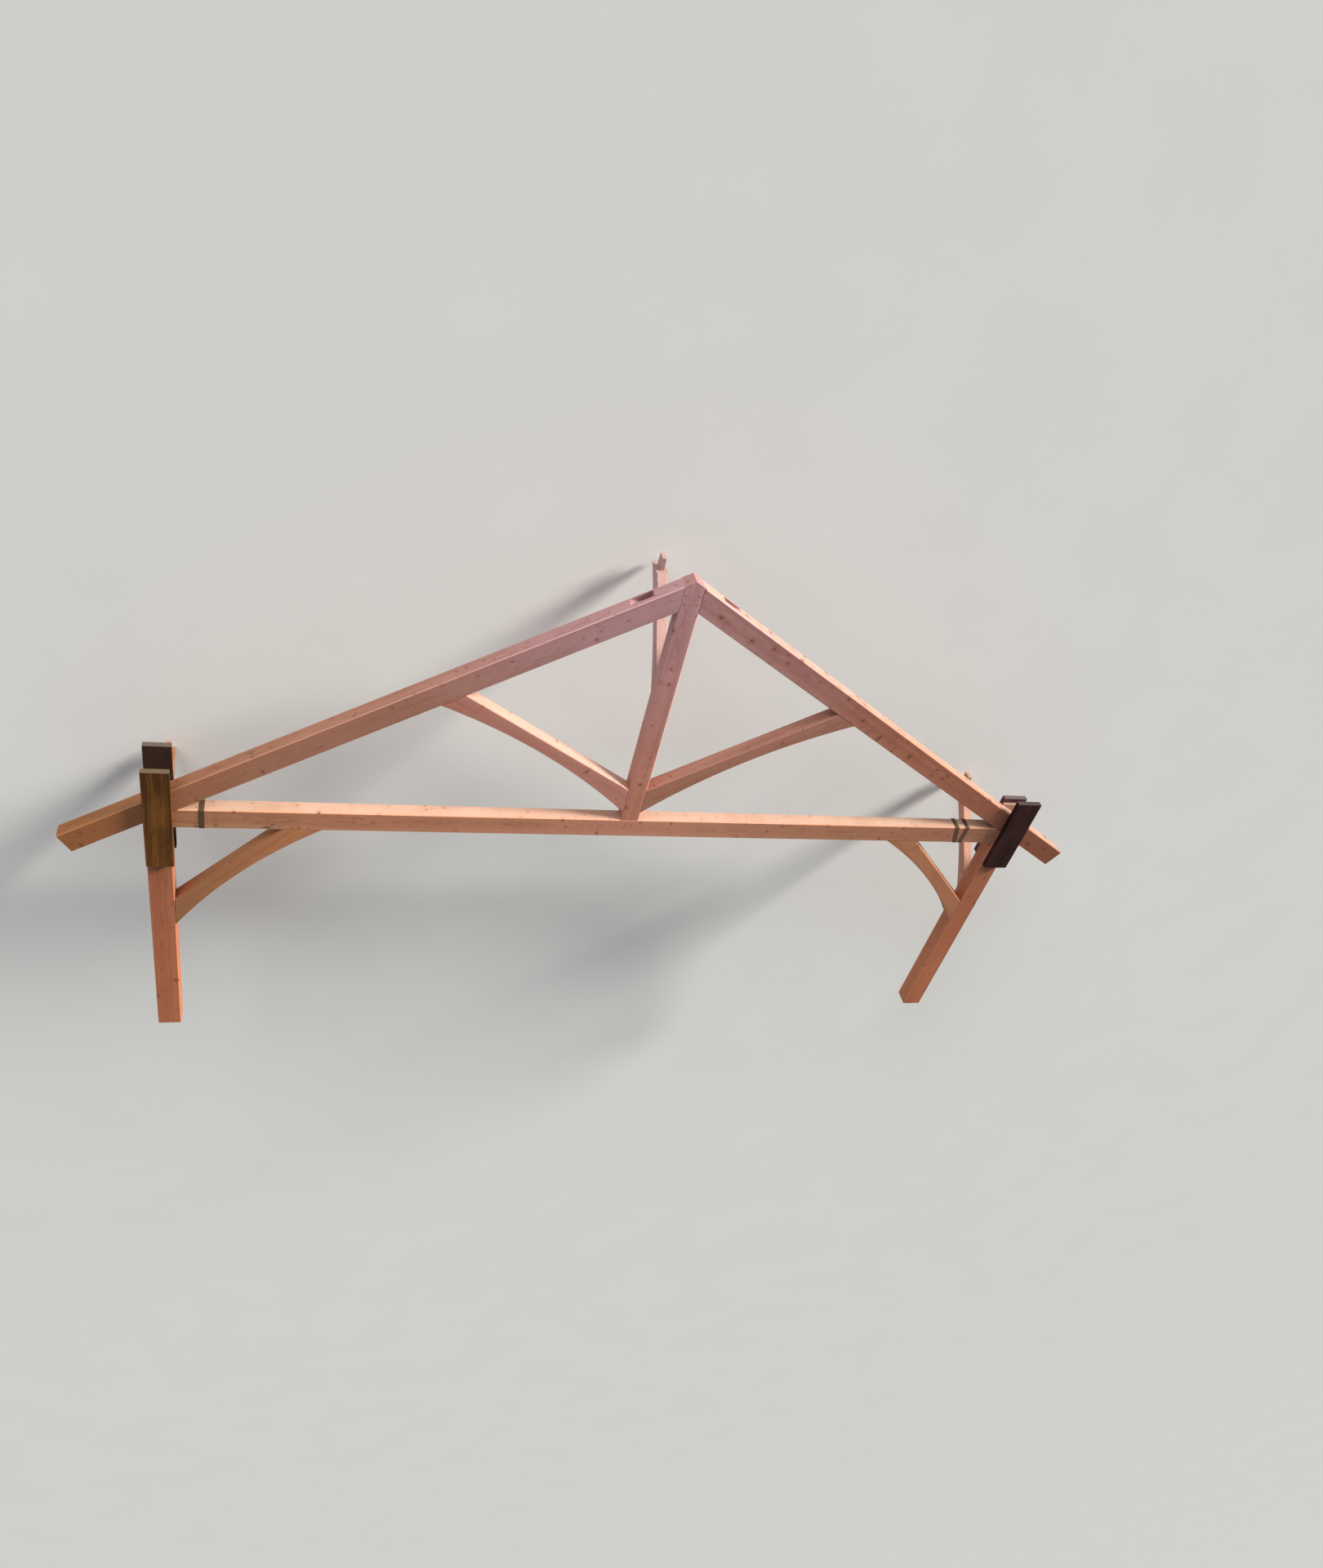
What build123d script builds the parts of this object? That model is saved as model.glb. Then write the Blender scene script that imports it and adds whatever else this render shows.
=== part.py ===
from build123d import *
from math import cos, radians, sin, sqrt, tan
import os

# King-post truss bent of squared timber: two rafters, a tie beam, a king post with two arched
# struts, two posts with arched knee braces, and three arched braces at the rear. Lengths in mm.
# The bent lies on the tips of its rear braces with its front face up: X runs across the span,
# Y from the post feet to the peak, Z from the rear to the front. Elevation sketches use
# (x, height above the post feet), and side sketches (depth behind the front face, height).

# Set-out. Heights hang from the underside of the tie beam, and spans from the middle.
HALF_SPAN = 6096        # middle of the bent to the outer face of a post
PITCH = 31.2            # rafter slope, degrees
TIE_UP = 3885           # post foot to the underside of the tie beam
HEEL = 63               # rafter's underside over a post's outer face, above the tie's underside
TAIL = 993              # overhang of the rafter's top line past the post, measured level

# Timber sizes
FRAME_T = 203           # thickness of every member but the posts, front to rear
RAFTER_W = 305
TIE_W = 305
KING_W = 250
POST_W = 305
POST_T = 254            # the posts are thicker, and flush at the front
REAR_W = 152            # width of a rear brace
CHAMFER = 11            # planed off each long arris

# Struts, knee braces and rear braces: a straight upper edge and an arched underside
STRUT_RISE = 550        # top of the strut's foot, above the tie beam
STRUT_FOOT = 410        # height of the foot
STRUT_HEAD_X = 2430     # inner corner of the strut's head under the rafter
STRUT_HEAD = 290        # the head, measured level
STRUT_ARCH = 142
KNEE_LEG = 1300
KNEE_END = 485
KNEE_ARCH = 138
REAR_LEG = 1038
REAR_END = 312
REAR_ARCH = 74
RIDGE_DROP = 1713       # peak down to the ridge brace's upper face at the king post
EAVE_DROP = 1096        # tie beam's underside down to an eave brace's upper face at the post

# Joinery
TENON_T = 51            # about a quarter of a member's thickness
TENON_FRONT = 76        # front face of every tenon, behind the front of the frame
RAFTER_TENON = 90
KING_TENON = 120
KING_TENON_W = 150
TIE_TENON = 130
POST_TENON = 110
BRACE_TENON = 90
STUB_TENON = 180        # free tenon on the square-cut top of a rear brace
STUB_BACK = 60          # from the brace's upper face to the free tenon
STUB_D = 150
TENON_GAP = 1.0         # clearance of a tenon in its mortise
SEAT = 0.3              # clearance at a shoulder and under a board
PEG_R = 12.5            # eight-sided pegs, corner radius
PEG_GAP = 0.3
PEG_PROUD = 3           # a peg's ends stand out this far where no board covers them

# Pockets for a ridge purlin in the top of each rafter: plumb at the uphill end, level seat
HOUSING_X = 438
HOUSING_END_X = 695
HOUSING_FRONT = 65
HOUSING_REAR_WALL = 25

# Boards over the post heads: how far each reaches below and above the tie beam's underside
BOARD_T = 76
BOARD_LEFT_W, BOARD_RIGHT_W = 325, 380
BOARD_RIGHT_OUT = 89    # the right-hand boards stand out past the post
FRONT_LEFT_LOW, FRONT_LEFT_UP = 609, 958
FRONT_RIGHT_LOW, FRONT_RIGHT_UP = 451, 868
REAR_LEFT_LOW, REAR_LEFT_UP = 609, 1090
REAR_RIGHT_LOW, REAR_RIGHT_UP = 451, 685
PACKER_UP = 609         # top of the packing behind the right-hand rafter

# Lashings round the tie beam: foot of each turn, from the outer face of the nearer post
STRAP_W = 66
STRAP_T = 4
STRAP_LEFT_IN = 659
STRAP_INNER_IN, STRAP_INNER_LEAN = 971, -75     # a turn's head stands off its foot by the lean
STRAP_OUTER_IN, STRAP_OUTER_LEAN = 888, 14

# Derived set-out
P = radians(PITCH)
KING_X = KING_W / 2
TIE_TOP = TIE_UP + TIE_W
POST_IN = HALF_SPAN - POST_W
POST_X = HALF_SPAN - POST_W / 2
TAIL_X = HALF_SPAN + TAIL
PEAK = TIE_UP + HEEL + RAFTER_W / cos(P) + HALF_SPAN * tan(P)
STRUT_TOP = TIE_TOP + STRUT_RISE
RIDGE_BRACE = PEAK - RIDGE_DROP
EAVE_BRACE = TIE_UP - EAVE_DROP
SEAT_H = SEAT / cos(P)
BOARD_LEFT_X = HALF_SPAN - BOARD_LEFT_W / 2
BOARD_RIGHT_X = HALF_SPAN + BOARD_RIGHT_OUT - BOARD_RIGHT_W / 2
BOARD_RIGHT_EDGE = BOARD_RIGHT_X - BOARD_RIGHT_W / 2
REACH = POST_T + REAR_LEG + REAR_END        # front face down to the tips of the eave braces


def top(x):
    return PEAK - x * tan(P)


def under(x):
    return top(x) - RAFTER_W / cos(P)


def arch_mid(a, b, rise):
    """Middle of an arch that rises to the left of the run from a to b."""
    run = sqrt((b[0] - a[0]) ** 2 + (b[1] - a[1]) ** 2)
    nx, nz = -(b[1] - a[1]) / run, (b[0] - a[0]) / run
    return ((a[0] + b[0]) / 2 + nx * rise, (a[1] + b[1]) / 2 + nz * rise)


FACE = Plane(origin=(0, -PEAK / 2, REACH))      # front faces of the whole frame
TENON = FACE.offset(-TENON_FRONT)               # front faces of the tenons
MORTISE = TENON.offset(TENON_GAP)
SIDE = Plane(origin=(0, -PEAK / 2, REACH), x_dir=(0, 0, -1), z_dir=(1, 0, 0))

# Tenon outlines. Each starts a little inside its own member, so that the same outline, grown
# by the clearance, also cuts the mortise clear through the surface of the other member.
ROOT = 12
rafter_tenon = [
    (KING_X + ROOT, top(KING_X + ROOT) - 75),
    (KING_X - RAFTER_TENON, top(KING_X - RAFTER_TENON) - 75),
    (KING_X - RAFTER_TENON, under(KING_X - RAFTER_TENON) + 50),
    (KING_X + ROOT, under(KING_X + ROOT) + 50),
]
king_tenon = [
    (-KING_TENON_W / 2, TIE_TOP + ROOT),
    (-KING_TENON_W / 2, TIE_TOP - KING_TENON),
    (KING_TENON_W / 2, TIE_TOP - KING_TENON),
    (KING_TENON_W / 2, TIE_TOP + ROOT),
]
tie_tenon = [
    (POST_IN - ROOT, TIE_UP + 15),
    (POST_IN + TIE_TENON, TIE_UP + 15),
    (POST_IN + TIE_TENON, TIE_UP + 115),
    (POST_IN - ROOT, TIE_UP + 115),
]
post_a, post_b = POST_IN + 60, HALF_SPAN - 60
post_tenon = [
    (post_a, under(post_a) - ROOT),
    (post_b, under(post_b) - ROOT),
    (post_b, under(post_b) + POST_TENON),
    (post_a, under(post_a) + POST_TENON),
]
strut_low, strut_high = STRUT_TOP - STRUT_FOOT + 60, STRUT_TOP - 50
strut_foot_tenon = [
    (KING_X + ROOT, strut_low),
    (KING_X - BRACE_TENON, strut_low),
    (KING_X - BRACE_TENON, strut_high),
    (KING_X + ROOT, strut_high),
]
head_a, head_b = STRUT_HEAD_X + 35, STRUT_HEAD_X + STRUT_HEAD - 45
strut_head_tenon = [
    (head_a, under(head_a) - ROOT),
    (head_b, under(head_b) - ROOT),
    (head_b + BRACE_TENON * sin(P), under(head_b) + BRACE_TENON * cos(P)),
    (head_a + BRACE_TENON * sin(P), under(head_a) + BRACE_TENON * cos(P)),
]
knee_near, knee_far = KNEE_LEG + 40, KNEE_LEG + KNEE_END - 60
knee_tie_tenon = [
    (POST_IN - knee_far, TIE_UP - ROOT),
    (POST_IN - knee_near, TIE_UP - ROOT),
    (POST_IN - knee_near, TIE_UP + BRACE_TENON),
    (POST_IN - knee_far, TIE_UP + BRACE_TENON),
]
knee_post_tenon = [
    (POST_IN - ROOT, TIE_UP - knee_far),
    (POST_IN + BRACE_TENON, TIE_UP - knee_far),
    (POST_IN + BRACE_TENON, TIE_UP - knee_near),
    (POST_IN - ROOT, TIE_UP - knee_near),
]

# Peg centres in the front elevation, right-hand side
rafter_pegs = [(KING_X - 45, under(KING_X) + 126), (KING_X - 45, top(KING_X) - 116)]
king_pegs = [(-36, TIE_TOP - 70), (36, TIE_TOP - 70)]
tie_pegs = [(POST_IN + 36, TIE_UP + 65), (POST_IN + 94, TIE_UP + 65)]
post_pegs = [(POST_IN + 95, under(POST_IN + 95) + 55), (HALF_SPAN - 95, under(HALF_SPAN - 95) + 55)]
strut_foot_pegs = [(KING_X - 45, strut_low + 85), (KING_X - 45, strut_high - 85)]
strut_head_pegs = [
    (head_a + 45 + 45 * sin(P), under(head_a + 45) + 45 * cos(P)),
    (head_b - 45 + 45 * sin(P), under(head_b - 45) + 45 * cos(P)),
]
knee_tie_pegs = [(POST_IN - knee_far + 95, TIE_UP + 45), (POST_IN - knee_near - 95, TIE_UP + 45)]
knee_post_pegs = [(POST_IN + 45, TIE_UP - knee_far + 95), (POST_IN + 45, TIE_UP - knee_near - 95)]


# Rafter: plumb-cut at the king post, square-cut at the tail, mortised for the post and the strut
with BuildPart() as rafter_right:
    with BuildSketch(FACE):
        with BuildLine():
            Polyline(
                (KING_X + SEAT, under(KING_X + SEAT)),
                (KING_X + SEAT, top(KING_X + SEAT)),
                (TAIL_X, top(TAIL_X)),
                (TAIL_X - RAFTER_W * sin(P), top(TAIL_X) - RAFTER_W * cos(P)),
                close=True,
            )
        make_face()
    extrude(amount=-FRAME_T)
    chamfer(rafter_right.edges().filter_by(lambda e: e.length > 3000), CHAMFER)
    with BuildSketch(TENON):
        with BuildLine():
            Polyline(*rafter_tenon, close=True)
        make_face()
    extrude(amount=-TENON_T)
    with BuildSketch(MORTISE):
        with BuildLine():
            Polyline(*post_tenon, close=True)
        make_face()
        with BuildLine():
            Polyline(*strut_head_tenon, close=True)
        make_face()
        offset(amount=TENON_GAP, kind=Kind.INTERSECTION, mode=Mode.REPLACE)
    extrude(amount=-TENON_T - 2 * TENON_GAP, mode=Mode.SUBTRACT)
    with BuildSketch(FACE.offset(-HOUSING_FRONT)):
        with BuildLine():
            Polyline(
                (HOUSING_X, top(HOUSING_END_X)),
                (HOUSING_END_X, top(HOUSING_END_X)),
                (HOUSING_END_X, top(HOUSING_X) + RAFTER_W),
                (HOUSING_X, top(HOUSING_X) + RAFTER_W),
                close=True,
            )
        make_face()
    extrude(amount=HOUSING_FRONT + HOUSING_REAR_WALL - FRAME_T, mode=Mode.SUBTRACT)
    with BuildSketch(FACE):
        with Locations(*rafter_pegs, *post_pegs, *strut_head_pegs):
            RegularPolygon(PEG_R + PEG_GAP, 8)
    extrude(amount=-FRAME_T, mode=Mode.SUBTRACT)

# King post: its head rises to the peak between the rafters, its foot is tenoned into the tie
with BuildPart() as king_post:
    with BuildSketch(FACE):
        with BuildLine():
            Polyline(
                (-KING_X, TIE_TOP + SEAT),
                (KING_X, TIE_TOP + SEAT),
                (KING_X, top(KING_X)),
                (0, PEAK),
                (-KING_X, top(KING_X)),
                close=True,
            )
        make_face()
    extrude(amount=-FRAME_T)
    chamfer(king_post.edges().filter_by(lambda e: e.length > 3000), CHAMFER)
    with BuildSketch(TENON):
        with BuildLine():
            Polyline(*king_tenon, close=True)
        make_face()
    extrude(amount=-TENON_T)
    with BuildSketch(MORTISE):
        with BuildLine():
            Polyline(*rafter_tenon, close=True)
        make_face()
        with BuildLine():
            Polyline(*strut_foot_tenon, close=True)
        make_face()
        mirror(about=Plane.YZ)
        offset(amount=TENON_GAP, kind=Kind.INTERSECTION, mode=Mode.REPLACE)
    extrude(amount=-TENON_T - 2 * TENON_GAP, mode=Mode.SUBTRACT)
    with BuildSketch(FACE):
        with Locations(*rafter_pegs, *strut_foot_pegs):
            RegularPolygon(PEG_R + PEG_GAP, 8)
        mirror(about=Plane.YZ)
        with Locations(*king_pegs):
            RegularPolygon(PEG_R + PEG_GAP, 8)
    extrude(amount=-FRAME_T, mode=Mode.SUBTRACT)
    # mortise in the rear face for the ridge brace
    with BuildSketch(SIDE.offset(-TENON_T / 2 - TENON_GAP)):
        with BuildLine():
            Polyline(
                (FRAME_T + ROOT, RIDGE_BRACE - 40 + TENON_GAP),
                (FRAME_T - BRACE_TENON - TENON_GAP, RIDGE_BRACE - 40 + TENON_GAP),
                (FRAME_T - BRACE_TENON - TENON_GAP, RIDGE_BRACE - REAR_END + 50 - TENON_GAP),
                (FRAME_T + ROOT, RIDGE_BRACE - REAR_END + 50 - TENON_GAP),
                close=True,
            )
        make_face()
    extrude(amount=TENON_T + 2 * TENON_GAP, mode=Mode.SUBTRACT)

# Tie beam: butts between the posts, its top corners cut off along the rafters' undersides
tie_end = POST_IN - SEAT
tie_clip_x = (PEAK - RAFTER_W / cos(P) - SEAT_H - TIE_TOP) / tan(P)
with BuildPart() as tie_beam:
    with BuildSketch(FACE):
        with BuildLine():
            Polyline(
                (-tie_end, TIE_UP),
                (tie_end, TIE_UP),
                (tie_end, under(tie_end) - SEAT_H),
                (tie_clip_x, TIE_TOP),
                (-tie_clip_x, TIE_TOP),
                (-tie_end, under(tie_end) - SEAT_H),
                close=True,
            )
        make_face()
    extrude(amount=-FRAME_T)
    chamfer(tie_beam.edges().filter_by(lambda e: e.length > 3000), CHAMFER)
    with BuildSketch(TENON):
        with BuildLine():
            Polyline(*tie_tenon, close=True)
        make_face()
        mirror(about=Plane.YZ)
    extrude(amount=-TENON_T)
    with BuildSketch(MORTISE):
        with BuildLine():
            Polyline(*knee_tie_tenon, close=True)
        make_face()
        mirror(about=Plane.YZ)
        with BuildLine():
            Polyline(*king_tenon, close=True)
        make_face()
        offset(amount=TENON_GAP, kind=Kind.INTERSECTION, mode=Mode.REPLACE)
    extrude(amount=-TENON_T - 2 * TENON_GAP, mode=Mode.SUBTRACT)
    with BuildSketch(FACE):
        with Locations(*tie_pegs, *knee_tie_pegs):
            RegularPolygon(PEG_R + PEG_GAP, 8)
        mirror(about=Plane.YZ)
        with Locations(*king_pegs):
            RegularPolygon(PEG_R + PEG_GAP, 8)
    extrude(amount=-FRAME_T, mode=Mode.SUBTRACT)

# Strut from the king post's foot up to the rafter
strut_foot_low = (KING_X + SEAT, STRUT_TOP - STRUT_FOOT)
strut_head_x = STRUT_HEAD_X + STRUT_HEAD
strut_head_low = (strut_head_x, under(strut_head_x) - SEAT_H)
with BuildPart() as strut_right:
    with BuildSketch(FACE):
        with BuildLine():
            Polyline(
                strut_foot_low,
                (KING_X + SEAT, STRUT_TOP),
                (STRUT_HEAD_X, under(STRUT_HEAD_X) - SEAT_H),
                strut_head_low,
            )
            ThreePointArc(
                strut_foot_low, arch_mid(strut_foot_low, strut_head_low, STRUT_ARCH), strut_head_low
            )
        make_face()
    extrude(amount=-FRAME_T)
    chamfer(strut_right.edges().filter_by(lambda e: e.length > 1000), CHAMFER)
    with BuildSketch(TENON):
        with BuildLine():
            Polyline(*strut_foot_tenon, close=True)
        make_face()
        with BuildLine():
            Polyline(*strut_head_tenon, close=True)
        make_face()
    extrude(amount=-TENON_T)
    with BuildSketch(FACE):
        with Locations(*strut_foot_pegs, *strut_head_pegs):
            RegularPolygon(PEG_R + PEG_GAP, 8)
    extrude(amount=-FRAME_T, mode=Mode.SUBTRACT)

# Post: top cut to the rafter's slope, with a tenon that stands up into the rafter
with BuildPart() as post_right:
    with BuildSketch(FACE):
        with BuildLine():
            Polyline(
                (POST_IN, 0),
                (HALF_SPAN, 0),
                (HALF_SPAN, under(HALF_SPAN) - SEAT_H),
                (POST_IN, under(POST_IN) - SEAT_H),
                close=True,
            )
        make_face()
    extrude(amount=-POST_T)
    chamfer(post_right.edges().filter_by(lambda e: e.length > 3000), CHAMFER)
    with BuildSketch(TENON):
        with BuildLine():
            Polyline(*post_tenon, close=True)
        make_face()
    extrude(amount=-TENON_T)
    with BuildSketch(MORTISE):
        with BuildLine():
            Polyline(*tie_tenon, close=True)
        make_face()
        with BuildLine():
            Polyline(*knee_post_tenon, close=True)
        make_face()
        offset(amount=TENON_GAP, kind=Kind.INTERSECTION, mode=Mode.REPLACE)
    extrude(amount=-TENON_T - 2 * TENON_GAP, mode=Mode.SUBTRACT)
    with BuildSketch(FACE):
        with Locations(*tie_pegs, *knee_post_pegs, *post_pegs):
            RegularPolygon(PEG_R + PEG_GAP, 8)
    extrude(amount=-POST_T, mode=Mode.SUBTRACT)
    # mortise in the rear face for the eave brace
    with BuildSketch(SIDE.offset(POST_X - TENON_T / 2 - TENON_GAP)):
        with BuildLine():
            Polyline(
                (POST_T + ROOT, EAVE_BRACE - 40 + TENON_GAP),
                (POST_T - BRACE_TENON - TENON_GAP, EAVE_BRACE - 40 + TENON_GAP),
                (POST_T - BRACE_TENON - TENON_GAP, EAVE_BRACE - REAR_END + 50 - TENON_GAP),
                (POST_T + ROOT, EAVE_BRACE - REAR_END + 50 - TENON_GAP),
                close=True,
            )
        make_face()
    extrude(amount=TENON_T + 2 * TENON_GAP, mode=Mode.SUBTRACT)

# Knee brace between the tie beam and the post
knee_tie_low = (POST_IN - KNEE_LEG - KNEE_END, TIE_UP - SEAT)
knee_post_low = (POST_IN - SEAT, TIE_UP - KNEE_LEG - KNEE_END)
with BuildPart() as knee_brace_right:
    with BuildSketch(FACE):
        with BuildLine():
            Polyline(
                knee_tie_low,
                (POST_IN - KNEE_LEG - SEAT, TIE_UP - SEAT),
                (POST_IN - SEAT, TIE_UP - KNEE_LEG - SEAT),
                knee_post_low,
            )
            ThreePointArc(knee_tie_low, arch_mid(knee_tie_low, knee_post_low, KNEE_ARCH), knee_post_low)
        make_face()
    extrude(amount=-FRAME_T)
    chamfer(knee_brace_right.edges().filter_by(lambda e: e.length > 1000), CHAMFER)
    with BuildSketch(TENON):
        with BuildLine():
            Polyline(*knee_tie_tenon, close=True)
        make_face()
        with BuildLine():
            Polyline(*knee_post_tenon, close=True)
        make_face()
    extrude(amount=-TENON_T)
    with BuildSketch(FACE):
        with Locations(*knee_tie_pegs, *knee_post_pegs):
            RegularPolygon(PEG_R + PEG_GAP, 8)
    extrude(amount=-FRAME_T, mode=Mode.SUBTRACT)

# Ridge brace: rises rearward from the king post, its top squared for a ridge beam
ridge_low = (FRAME_T + SEAT, RIDGE_BRACE - REAR_END)
ridge_top = (FRAME_T + REAR_LEG + REAR_END, RIDGE_BRACE + REAR_LEG)
with BuildPart() as ridge_brace:
    with BuildSketch(SIDE.offset(-REAR_W / 2)):
        with BuildLine():
            Polyline(
                ridge_low,
                (FRAME_T + SEAT, RIDGE_BRACE),
                (FRAME_T + REAR_LEG, RIDGE_BRACE + REAR_LEG),
                ridge_top,
            )
            ThreePointArc(ridge_low, arch_mid(ridge_low, ridge_top, REAR_ARCH), ridge_top)
        make_face()
    extrude(amount=REAR_W)
    chamfer(ridge_brace.edges().filter_by(lambda e: e.length > 1000), CHAMFER)
    with BuildSketch(SIDE.offset(-TENON_T / 2)):
        with BuildLine():
            Polyline(
                (FRAME_T + ROOT, RIDGE_BRACE - 40),
                (FRAME_T - BRACE_TENON, RIDGE_BRACE - 40),
                (FRAME_T - BRACE_TENON, RIDGE_BRACE - REAR_END + 50),
                (FRAME_T + ROOT, RIDGE_BRACE - REAR_END + 50),
                close=True,
            )
        make_face()
        with BuildLine():
            Polyline(
                (FRAME_T + REAR_LEG + STUB_BACK, RIDGE_BRACE + REAR_LEG - ROOT),
                (FRAME_T + REAR_LEG + STUB_BACK, RIDGE_BRACE + REAR_LEG + STUB_TENON),
                (FRAME_T + REAR_LEG + STUB_BACK + STUB_D, RIDGE_BRACE + REAR_LEG + STUB_TENON),
                (FRAME_T + REAR_LEG + STUB_BACK + STUB_D, RIDGE_BRACE + REAR_LEG - ROOT),
                close=True,
            )
        make_face()
    extrude(amount=TENON_T)

# Eave brace: the same brace on the rear face of a post
eave_low = (POST_T + SEAT, EAVE_BRACE - REAR_END)
eave_top = (POST_T + REAR_LEG + REAR_END, EAVE_BRACE + REAR_LEG)
with BuildPart() as eave_brace_right:
    with BuildSketch(SIDE.offset(POST_X - REAR_W / 2)):
        with BuildLine():
            Polyline(
                eave_low,
                (POST_T + SEAT, EAVE_BRACE),
                (POST_T + REAR_LEG, EAVE_BRACE + REAR_LEG),
                eave_top,
            )
            ThreePointArc(eave_low, arch_mid(eave_low, eave_top, REAR_ARCH), eave_top)
        make_face()
    extrude(amount=REAR_W)
    chamfer(eave_brace_right.edges().filter_by(lambda e: e.length > 1000), CHAMFER)
    with BuildSketch(SIDE.offset(POST_X - TENON_T / 2)):
        with BuildLine():
            Polyline(
                (POST_T + ROOT, EAVE_BRACE - 40),
                (POST_T - BRACE_TENON, EAVE_BRACE - 40),
                (POST_T - BRACE_TENON, EAVE_BRACE - REAR_END + 50),
                (POST_T + ROOT, EAVE_BRACE - REAR_END + 50),
                close=True,
            )
        make_face()
        with BuildLine():
            Polyline(
                (POST_T + REAR_LEG + STUB_BACK, EAVE_BRACE + REAR_LEG - ROOT),
                (POST_T + REAR_LEG + STUB_BACK, EAVE_BRACE + REAR_LEG + STUB_TENON),
                (POST_T + REAR_LEG + STUB_BACK + STUB_D, EAVE_BRACE + REAR_LEG + STUB_TENON),
                (POST_T + REAR_LEG + STUB_BACK + STUB_D, EAVE_BRACE + REAR_LEG - ROOT),
                close=True,
            )
        make_face()
    extrude(amount=TENON_T)

# Left-hand members mirror the right-hand ones
with BuildPart() as rafter_left:
    mirror(rafter_right.part, about=Plane.YZ)
with BuildPart() as strut_left:
    mirror(strut_right.part, about=Plane.YZ)
with BuildPart() as post_left:
    mirror(post_right.part, about=Plane.YZ)
with BuildPart() as knee_brace_left:
    mirror(knee_brace_right.part, about=Plane.YZ)
with BuildPart() as eave_brace_left:
    mirror(eave_brace_right.part, about=Plane.YZ)

# Boards that clasp each post head and the rafter over it, front and rear
with BuildPart() as board_front_left:
    with BuildSketch(FACE.offset(SEAT)):
        with Locations((-BOARD_LEFT_X, TIE_UP + (FRONT_LEFT_UP - FRONT_LEFT_LOW) / 2)):
            Rectangle(BOARD_LEFT_W, FRONT_LEFT_LOW + FRONT_LEFT_UP)
    extrude(amount=BOARD_T)
with BuildPart() as board_front_right:
    with BuildSketch(FACE.offset(SEAT)):
        with Locations((BOARD_RIGHT_X, TIE_UP + (FRONT_RIGHT_UP - FRONT_RIGHT_LOW) / 2)):
            Rectangle(BOARD_RIGHT_W, FRONT_RIGHT_LOW + FRONT_RIGHT_UP)
    extrude(amount=BOARD_T)
with BuildPart() as board_rear_left:
    with BuildSketch(FACE.offset(-POST_T - SEAT)):
        with Locations((-BOARD_LEFT_X, TIE_UP + (REAR_LEFT_UP - REAR_LEFT_LOW) / 2)):
            Rectangle(BOARD_LEFT_W, REAR_LEFT_LOW + REAR_LEFT_UP)
    extrude(amount=-BOARD_T)
with BuildPart() as board_rear_right:
    with BuildSketch(FACE.offset(-POST_T - SEAT)):
        with Locations((BOARD_RIGHT_X, TIE_UP + (REAR_RIGHT_UP - REAR_RIGHT_LOW) / 2)):
            Rectangle(BOARD_RIGHT_W, REAR_RIGHT_LOW + REAR_RIGHT_UP)
    extrude(amount=-BOARD_T)

# Packing on the right-hand post head, between the back of the rafter and the rear board
with BuildPart() as packer_right:
    with BuildSketch(FACE.offset(-FRAME_T - SEAT)):
        with BuildLine():
            Polyline(
                (BOARD_RIGHT_EDGE, under(BOARD_RIGHT_EDGE) + SEAT_H),
                (HALF_SPAN, under(HALF_SPAN) + SEAT_H),
                (HALF_SPAN, TIE_UP + PACKER_UP),
                (BOARD_RIGHT_EDGE, TIE_UP + PACKER_UP),
                close=True,
            )
        make_face()
    extrude(amount=FRAME_T + SEAT - POST_T)

# Pegs, one node a joint. Under a board they end flush with the timber.
with BuildPart() as pegs_king_head:
    with BuildSketch(FACE.offset(PEG_PROUD)):
        with Locations(*rafter_pegs):
            RegularPolygon(PEG_R, 8)
        mirror(about=Plane.YZ)
    extrude(amount=-FRAME_T - 2 * PEG_PROUD)
with BuildPart() as pegs_king_foot:
    with BuildSketch(FACE.offset(PEG_PROUD)):
        with Locations(*king_pegs):
            RegularPolygon(PEG_R, 8)
    extrude(amount=-FRAME_T - 2 * PEG_PROUD)
with BuildPart() as pegs_strut_feet:
    with BuildSketch(FACE.offset(PEG_PROUD)):
        with Locations(*strut_foot_pegs):
            RegularPolygon(PEG_R, 8)
        mirror(about=Plane.YZ)
    extrude(amount=-FRAME_T - 2 * PEG_PROUD)
with BuildPart() as pegs_strut_head_right:
    with BuildSketch(FACE.offset(PEG_PROUD)):
        with Locations(*strut_head_pegs):
            RegularPolygon(PEG_R, 8)
    extrude(amount=-FRAME_T - 2 * PEG_PROUD)
with BuildPart() as pegs_knee_tie_right:
    with BuildSketch(FACE.offset(PEG_PROUD)):
        with Locations(*knee_tie_pegs):
            RegularPolygon(PEG_R, 8)
    extrude(amount=-FRAME_T - 2 * PEG_PROUD)
with BuildPart() as pegs_knee_post_right:
    with BuildSketch(FACE.offset(PEG_PROUD)):
        with Locations(*knee_post_pegs):
            RegularPolygon(PEG_R, 8)
    extrude(amount=-POST_T - 2 * PEG_PROUD)
with BuildPart() as pegs_tie_post_right:
    with BuildSketch(FACE):
        with Locations(*tie_pegs):
            RegularPolygon(PEG_R, 8)
    extrude(amount=-POST_T)
with BuildPart() as pegs_rafter_post_right:
    with BuildSketch(FACE):
        with Locations(*post_pegs):
            RegularPolygon(PEG_R, 8)
    extrude(amount=-FRAME_T)
with BuildPart() as pegs_strut_head_left:
    mirror(pegs_strut_head_right.part, about=Plane.YZ)
with BuildPart() as pegs_knee_tie_left:
    mirror(pegs_knee_tie_right.part, about=Plane.YZ)
with BuildPart() as pegs_knee_post_left:
    mirror(pegs_knee_post_right.part, about=Plane.YZ)
with BuildPart() as pegs_tie_post_left:
    mirror(pegs_tie_post_right.part, about=Plane.YZ)
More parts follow.
